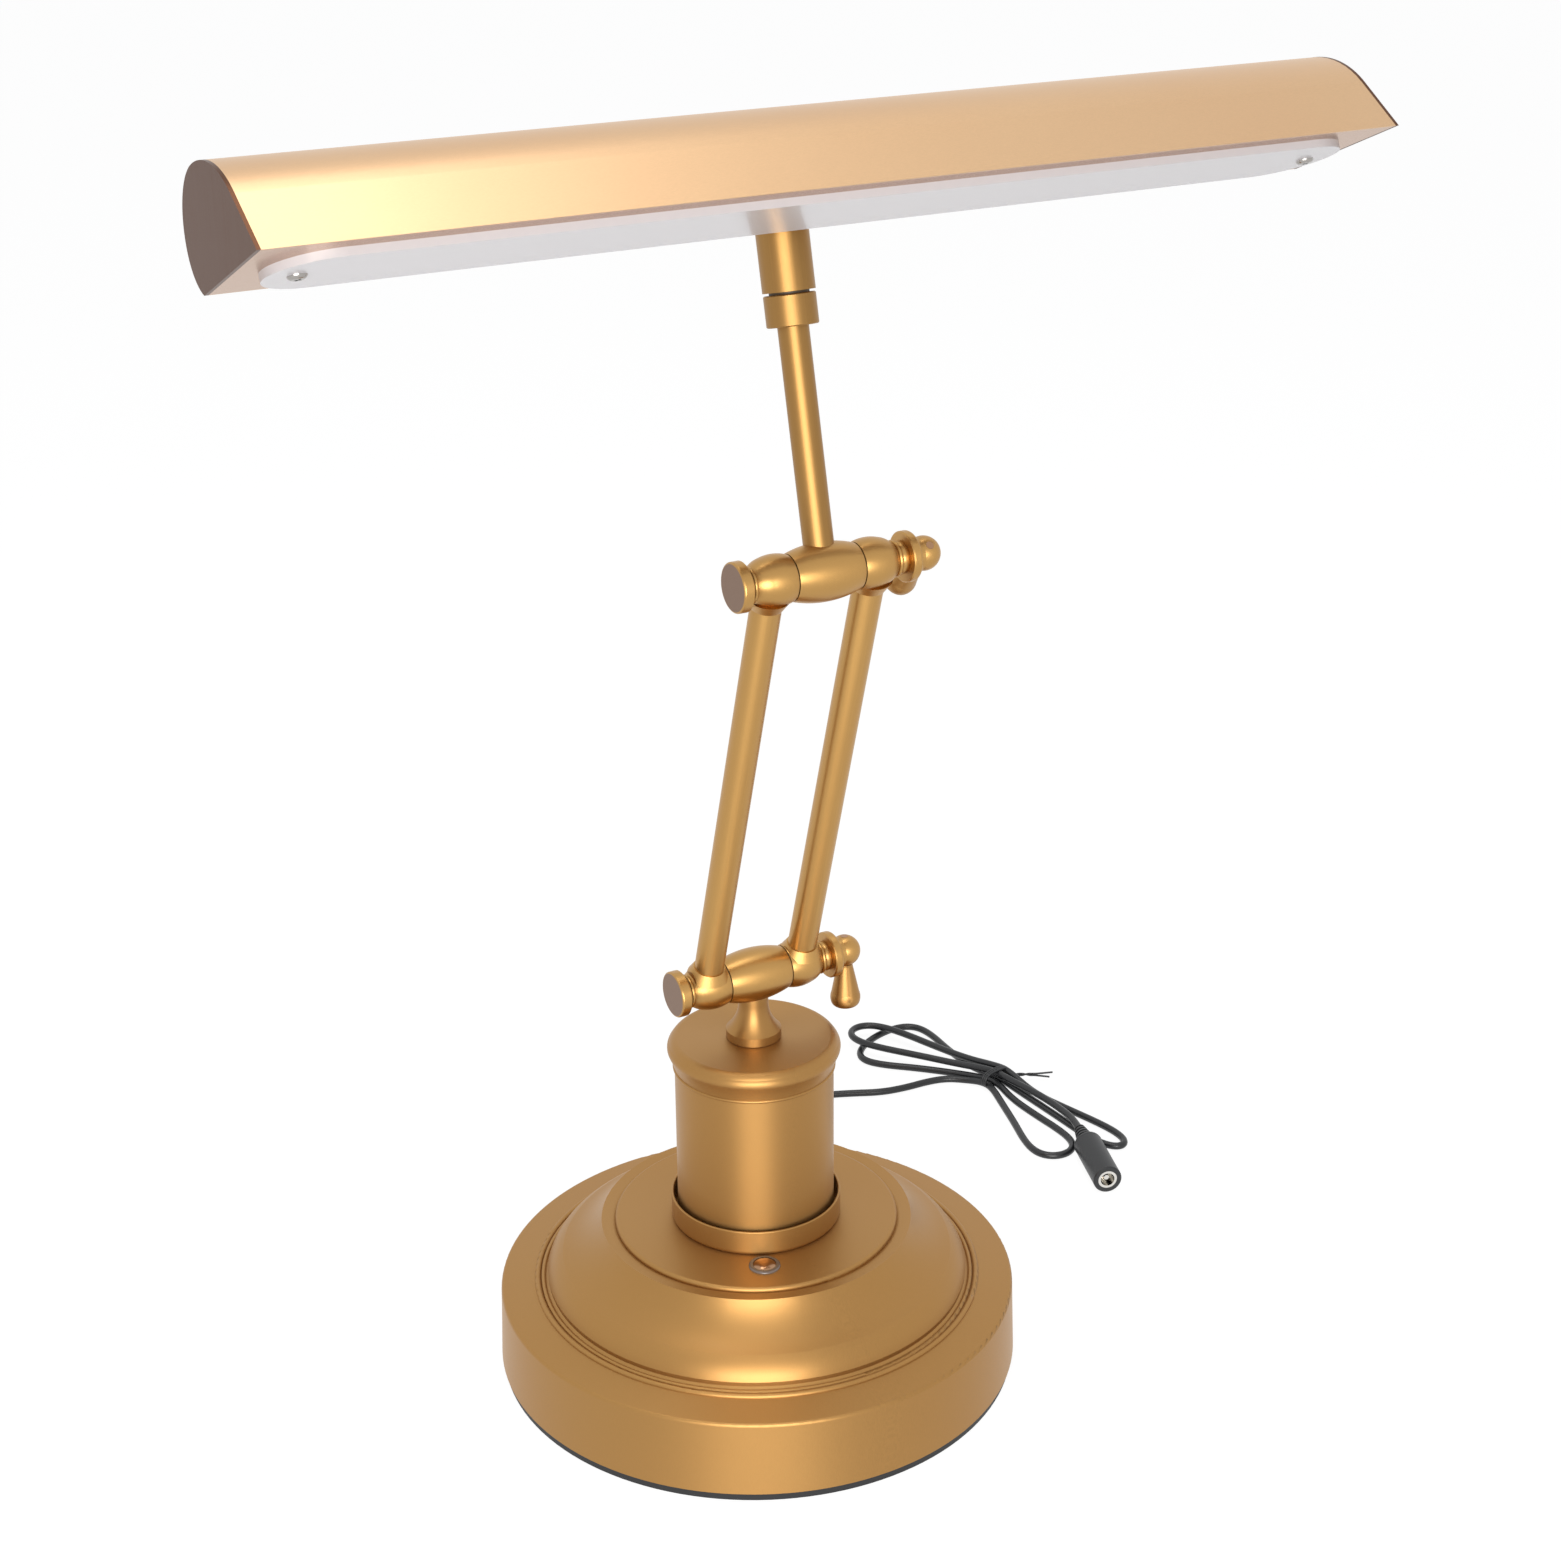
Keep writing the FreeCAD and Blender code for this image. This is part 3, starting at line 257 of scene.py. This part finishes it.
spun_brass = brushed("spun_brass", BRASS, upright, roughness=(0.38, 0.50))
# The turned, bolt and arm brass take the lighter copy, a painted highlight.
turned_brass = brushed("turned_brass", BRASS_PAINTED_HIGHLIGHT, sideways, lines=1800.0)
bolt_brass = brushed("bolt_brass", BRASS_PAINTED_HIGHLIGHT, sideways, lines=1800.0, ends=BRASS_FACED)
arm_brass = brushed("arm_brass", BRASS_PAINTED_HIGHLIGHT, arm_along, lines=1600.0)
# The stem brass takes the darker copy, a painted shade.
stem_brass = brushed("stem_brass", BRASS_PAINTED_SHADE_STEM, stem_along, roughness=(0.40, 0.50), spread=0.3)
# The shade shell takes the paler copy, a painted sheen.
shade_brass = brushed("shade_brass", BRASS_PAINTED_SHEEN, sideways, lines=900.0, spread=0.2, coat=0.12)
# The end caps take the much darker copy, a painted shade.
shaded_end_brass = brushed("shaded_end_brass", BRASS_PAINTED_SHADE_END, sideways, roughness=(0.34, 0.46), coat=0.0)
plate_brass = brushed("plate_brass", BRASS_PLATE, sideways, roughness=(0.2, 0.3), contrast=0.05)
# The white opal acrylic is greyed down: painted shade on the diffuser, which faces down and is lit
# less.
shaded_acrylic = plain("opal_acrylic", (0.55, 0.535, 0.56), 0.28, coat=0.2)
screw_steel = plain("polished_steel", (0.38, 0.36, 0.34), 0.2, metallic=1.0)
zinc_steel = plain("zinc_steel", (0.5, 0.5, 0.52), 0.35, metallic=1.0)
iron = plain("raw_iron", (0.08, 0.08, 0.08), 0.7, metallic=0.6)
black_rubber = plain("black_rubber", (0.012, 0.012, 0.013), 0.55)
black_plastic = plain("black_plastic", (0.016, 0.017, 0.019), 0.42)
cord_black = plain("cord_sheath", (0.014, 0.015, 0.017), 0.33)
nickel = plain("bright_nickel", (0.72, 0.70, 0.66), 0.12, metallic=1.0)
ring_clear = plain("smoky_ring", (0.16, 0.12, 0.10), 0.22, coat=0.3)
dome_metal = plain("dome_metal", (0.40, 0.23, 0.13), 0.2, metallic=1.0)
nylon = plain("nylon", (0.07, 0.045, 0.02), 0.5)
board_green = plain("board_green", (0.02, 0.09, 0.04), 0.4)
aluminium = plain("mill_aluminium", (0.66, 0.66, 0.67), 0.35, metallic=1.0)
phosphor = plain("phosphor", (0.85, 0.66, 0.12), 0.5)

looks = (
    (spun_brass, ("base_cover", "column_cup", "column_tube", "column_cap", "neck_cone",
                  "lower_lever_handle", "upper_lever_handle")),
    (turned_brass, ("lower_barrel", "upper_barrel", "lower_knuckles", "upper_knuckles",
                    "lower_lever_hub", "upper_lever_hub")),
    (bolt_brass, ("clamp_bolts",)),
    (arm_brass, ("arm_tube_left", "arm_tube_right")),
    (stem_brass, ("stem_tube", "swivel_collar", "swivel_sleeve")),
    (shade_brass, ("shade_shell",)),
    (shaded_end_brass, ("shade_end_left", "shade_end_right")),
    (plate_brass, ("shade_bottom_plate",)),
    (shaded_acrylic, ("diffuser",)),
    (screw_steel, ("diffuser_screws",)),
    (zinc_steel, ("swivel_stud", "sleeve_grub_screw", "neck_grub_screw", "shade_mount_screws",
                  "base_floor_plate", "floor_plate_screws", "tie_rod", "tie_rod_foot_nut",
                  "tie_rod_washer", "tie_rod_nuts")),
    (iron, ("base_ballast",)),
    (black_rubber, ("base_pad",)),
    (black_plastic, ("dimmer_components", "cord_strain_relief", "jack_body", "jack_relief",
                     "cord_tie")),
    (cord_black, ("cord_lead", "cord_hank", "cord_tail")),
    (nickel, ("jack_sleeve", "jack_pin")),
    (ring_clear, ("sensor_ring",)),
    (dome_metal, ("sensor_dome", "sensor_contact", "lower_lever_pin", "upper_lever_pin")),
    (nylon, ("thrust_washer", "friction_washers", "swivel_washer", "dimmer_posts")),
    (board_green, ("led_board", "dimmer_board")),
    (aluminium, ("led_carrier",)),
    (phosphor, ("led_chips",)),
)
for look, names in looks:
    for name in names:
        for material_slot in nodes[name].material_slots:
            material_slot.link = "OBJECT"
            material_slot.material = look


# cord, in millimetres

CORD_RADIUS = 1.55
STRAND_PITCH = 3.75
WAIST_RUN = 3.2
WAIST_LIFT = 0.85
WAIST_PLACES = ((-1.62, 1), (-0.5, 1), (0.5, 1), (1.3, 2), (0.0, 2))   # pitches across, layer
HANK_CENTRE = Vector((187.0, 118.0, 0.0))
HANK_TURN = math.radians(11.5)
HANK_LOBES = (            # direction in degrees, length, half width, sense, layer
    (-96.2, 66.5, 8.5, -1, 1),
    (112.2, 68.0, 19.5, 1, 1),
    (-80.6, 75.0, 5.2, -1, 1),
    (117.6, 77.0, 8.0, -1, 2),
)
LOBE_PLACES = (1 / 48, *(k / 12 for k in range(1, 12)), 47 / 48)

FOOT_TURN = math.radians(-24.3)
FOOT_RADIUS = 96.2
PAD_HEIGHT = 3.0
WALL_TOP = 30.0
WALL_DRAFT = 1.0
EXIT_HEIGHT = 9.0
EXIT_START = -3.0         # from the wall
EXIT_END = 15.8
JACK_TURN = math.radians(-109.4)
JACK_TIP = Vector((176.2, 19.1, 6.1))
JACK_LENGTH = 31.0
JACK_RELIEF_LENGTH = 11.0

floor_level = CORD_RADIUS + 0.05
behind = Vector((-math.sin(FOOT_TURN), math.cos(FOOT_TURN), 0))
wall_radius = FOOT_RADIUS - WALL_DRAFT * (EXIT_HEIGHT - PAD_HEIGHT) / (WALL_TOP - PAD_HEIGHT)
exit_axis = Vector((0, 0, EXIT_HEIGHT))
jack_inward = Vector((-math.cos(JACK_TURN), -math.sin(JACK_TURN), 0))
relief_end = JACK_TIP + jack_inward * (JACK_LENGTH + JACK_RELIEF_LENGTH)


def waist_point(pitches, layer):
    across = pitches * STRAND_PITCH
    height = floor_level + WAIST_LIFT + (layer - 1) * STRAND_PITCH
    return HANK_CENTRE + Vector((across * math.cos(HANK_TURN), across * math.sin(HANK_TURN),
                                 height))


def hank_points():
    """The cord's path from the tied waist through each lobe in turn and back."""
    along = Vector((-math.sin(HANK_TURN), math.cos(HANK_TURN), 0)) * WAIST_RUN
    waist = [waist_point(*place) for place in WAIST_PLACES]
    points = []
    for k, (degrees, length, half_width, sense, layer) in enumerate(HANK_LOBES):
        angle = math.radians(degrees)
        forward = Vector((math.cos(angle), math.sin(angle), 0))
        aside = Vector((-math.sin(angle), math.cos(angle), 0))
        away = along * (-1) ** (k + 1)
        points += [waist[k] - away, waist[k] + away]
        for t in LOBE_PLACES:
            root = waist[k] + (waist[k + 1] - waist[k]) * t
            point = root + forward * (length * math.sqrt(math.sin(math.pi * t)))
            point += aside * (sense * half_width * math.sin(2 * math.pi * t))
            point.z = floor_level + (layer - 1) * STRAND_PITCH
            points.append(point)
    return points + [waist[-1] + along, waist[-1] - along]


route = [
    exit_axis + behind * (wall_radius + EXIT_START),
    exit_axis + behind * (wall_radius + EXIT_END),
    Vector((51.8, 115.2, 7.6)),
    Vector((58.6, 127.2, 4.0)),
    Vector((68.0, 137.2, floor_level + 0.2)),
    Vector((81.0, 144.6, floor_level)),
    Vector((96.5, 148.4, floor_level)),
    Vector((112.0, 147.2, floor_level)),
    Vector((125.5, 141.6, floor_level)),
    Vector((137.5, 135.6, floor_level)),
    Vector((149.5, 133.6, floor_level)),
    Vector((160.5, 133.4, floor_level)),
    Vector((169.5, 131.4, floor_level)),
    Vector((176.0, 126.2, floor_level)),
    *hank_points(),
    Vector((189.6, 106.0, 5.9)),
    Vector((191.9, 96.0, 5.7)),
    Vector((193.2, 86.0, 5.7)),
    Vector((193.4, 76.5, 5.8)),
    relief_end + jack_inward * 8.0,
    relief_end - jack_inward * 4.0,
]


def wire(name, points, radius, look):
    """Round wire along a smooth line through the neighbourhood of its points."""
    curve = bpy.data.curves.new(name, "CURVE")
    curve.dimensions = "3D"
    curve.bevel_depth = radius * MM
    curve.bevel_resolution = 5
    curve.use_fill_caps = True
    spline = curve.splines.new("NURBS")
    spline.points.add(len(points) - 1)
    for point, place in zip(spline.points, points):
        point.co = (*(place * MM), 1)
    spline.order_u = 3
    spline.use_endpoint_u = True
    spline.resolution_u = 8
    piece = bpy.data.objects.new(name, curve)
    scene.collection.objects.link(piece)
    piece.data.materials.append(look)
    return piece


cord = wire("power_cord", route, CORD_RADIUS, cord_black)
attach(cord, "base")
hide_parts("cord_lead", "cord_hank", "cord_tail")


# twist tie: three turns round the waist and two curled ends, in the hank's own axes

TIE_WIRE = 0.5
TIE_TURNS = 3
TIE_STEPS = 16
TIE_SPAN = 3.0            # along the strands
TIE_SQUARENESS = 0.75
TIE_ROOM = 0.45           # from the outer strands to the middle of the wire
TIE_LOW = 0.6
TIE_OVER = 0.35           # from the upper strands to the middle of the wire
END_WIRE = 0.42
END_STEPS = 12
END_RUN = Vector((14.5, -13.0, 0.0))
END_CURLED = 0.6          # share of an end that is curled
END_TURNS = 2.2           # turns per whole length of an end
END_CURL = 0.55           # radius
END_FLARE = 4.0
END_FLATNESS = 0.8

tie_left = WAIST_PLACES[0][0] * STRAND_PITCH - CORD_RADIUS - TIE_ROOM
tie_right = WAIST_PLACES[3][0] * STRAND_PITCH + CORD_RADIUS + TIE_ROOM
tie_top = 2 * CORD_RADIUS + STRAND_PITCH + WAIST_LIFT + TIE_OVER
tie_middle = (tie_left + tie_right) / 2
tie_reach = (tie_right - tie_left) / 2
tie_rise = (tie_top - TIE_LOW) / 2
end_root = Vector((tie_right - 0.2, -0.4, 2.9))
turn_hank = Matrix.Rotation(HANK_TURN, 4, "Z")


def squared(value):
    """A sine or cosine pushed outwards, so that a ring of them becomes a rounded box."""
    return math.copysign(abs(value) ** TIE_SQUARENESS, value)


def tie_wire(name, points, radius):
    placed = [HANK_CENTRE + turn_hank @ point for point in points]
    return wire(name, placed, radius, black_plastic)


def tie_points():
    count = TIE_TURNS * TIE_STEPS
    points = []
    for k in range(count + 1):
        angle = 2 * math.pi * k / TIE_STEPS
        points.append(Vector((tie_middle + tie_reach * squared(math.cos(angle)),
                              TIE_SPAN * (k / count - 0.5),
                              TIE_LOW + tie_rise + tie_rise * squared(math.sin(angle)))))
    return points


def end_points(phase):
    points = []
    for k in range(END_STEPS + 1):
        s = k / END_STEPS
        twist = 2 * math.pi * END_TURNS * min(s, END_CURLED) + phase
        curl = END_CURL + max(0.0, s - END_CURLED) * END_FLARE
        points.append(end_root + END_RUN * s
                      + Vector((0, curl * math.cos(twist), curl * math.sin(twist) * END_FLATNESS)))
    return points


tie_loop = tie_wire("tie_loop", tie_points(), TIE_WIRE)
tie_ends = [tie_wire("tie_end_a", end_points(0.0), END_WIRE),
            tie_wire("tie_end_b", end_points(math.pi), END_WIRE)]
for piece in [tie_loop] + tie_ends:
    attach(piece, "base")
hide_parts("cord_tie")


# floor and light

SEEN_WHITE = 1.0
SOFT_STRENGTH = 0.35
FLOOR_GLOW = 0.91
FLOOR_MATT = 0.20
FLOOR_PALE = 0.8
FLOOR_HALF = 12.0


def seen_directly(tree):
    """1 where the camera or a reflection sees the surface, else 0."""
    path = tree.nodes.new("ShaderNodeLightPath")
    total = math_node(tree, "ADD", path.outputs["Is Camera Ray"], path.outputs["Is Glossy Ray"])
    total = math_node(tree, "ADD", total, path.outputs["Is Transmission Ray"])
    return math_node(tree, "MINIMUM", total, 1.0)


def shader_node(tree, kind, color, strength=None):
    node = tree.nodes.new(kind)
    node.inputs["Color"].default_value = (*color, 1)
    if strength is not None:
        node.inputs["Strength"].default_value = strength
    return node.outputs[0]


def join_shaders(tree, kind, first, second, factor=None):
    node = tree.nodes.new(kind)
    sockets = list(node.inputs)
    if factor is not None:
        tree.links.new(factor, sockets.pop(0))
    tree.links.new(first, sockets[0])
    tree.links.new(second, sockets[1])
    return node.outputs[0]


world = bpy.data.worlds.new("studio")
scene.world = world
world.use_nodes = True
tree = world.node_tree
tree.nodes.clear()
soft = shader_node(tree, "ShaderNodeBackground", (0.97, 0.98, 1.0), SOFT_STRENGTH)
white = shader_node(tree, "ShaderNodeBackground", (1, 1, 1), SEEN_WHITE)
mixed = join_shaders(tree, "ShaderNodeMixShader", soft, white, seen_directly(tree))
output = tree.nodes.new("ShaderNodeOutputWorld")
tree.links.new(mixed, output.inputs["Surface"])

floor_mesh = bpy.data.meshes.new("floor")
floor_mesh.from_pydata(
    [(-FLOOR_HALF, -FLOOR_HALF, 0), (FLOOR_HALF, -FLOOR_HALF, 0),
     (FLOOR_HALF, FLOOR_HALF, 0), (-FLOOR_HALF, FLOOR_HALF, 0)], [], [(0, 1, 2, 3)])
floor = bpy.data.objects.new("floor", floor_mesh)
scene.collection.objects.link(floor)
floor_look = bpy.data.materials.new("floor_white")
floor_look.use_nodes = True
tree = floor_look.node_tree
tree.nodes.clear()
pale = shader_node(tree, "ShaderNodeBsdfDiffuse", (FLOOR_PALE,) * 3)
matt = shader_node(tree, "ShaderNodeBsdfDiffuse", (FLOOR_MATT,) * 3)
glow = shader_node(tree, "ShaderNodeEmission", (1, 1, 1), FLOOR_GLOW)
seen = join_shaders(tree, "ShaderNodeAddShader", matt, glow)
mixed = join_shaders(tree, "ShaderNodeMixShader", pale, seen, seen_directly(tree))
output = tree.nodes.new("ShaderNodeOutputMaterial")
tree.links.new(mixed, output.inputs["Surface"])
floor_mesh.materials.append(floor_look)


def softbox(name, place, aim, width, height, power):
    data = bpy.data.lights.new(name, "AREA")
    data.shape = "RECTANGLE"
    data.size = width
    data.size_y = height
    data.energy = power
    data.color = (1.0, 0.985, 0.96)
    lamp = bpy.data.objects.new(name, data)
    scene.collection.objects.link(lamp)
    lamp.location = place
    direction = Vector(aim) - Vector(place)
    lamp.rotation_euler = direction.to_track_quat("-Z", "Y").to_euler()


softbox("overhead", (-0.06, 0.05, 1.60), (-0.06, -0.05, 0.3), 0.7, 0.6, 5.0)
softbox("front", (-0.72, -1.32, 0.42), (0, 0, 0.12), 1.1, 0.75, 22.0)

bpy.context.view_layer.update()
